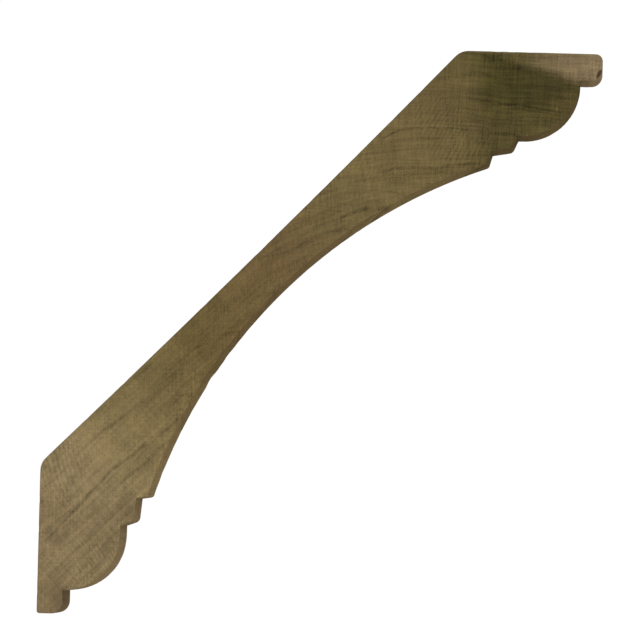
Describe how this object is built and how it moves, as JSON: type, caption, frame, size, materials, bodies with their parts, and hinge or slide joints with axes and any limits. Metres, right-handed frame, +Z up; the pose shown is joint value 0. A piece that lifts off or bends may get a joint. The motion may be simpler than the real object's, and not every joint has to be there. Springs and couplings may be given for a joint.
{
  "type": "crown moulding",
  "caption": "Short length of solid wood crown moulding: a wide cove between stepped ovolo edges, sprung between a wall and a ceiling.",
  "frame": {"origin": "middle of the face that rests on the wall, half way along the length", "axes": "+Z up to the ceiling, -X into the wall, +Y along the moulding's length"},
  "size_m": [0.125, 0.08, 0.1299],
  "materials": {
    "bare_wood": "bare planed wood with sawn ends, olive-brown with a greenish heart band, unpainted"
  },
  "bodies": {
    "root": {"crown_moulding": "bare_wood"}
  },
  "joints": []
}
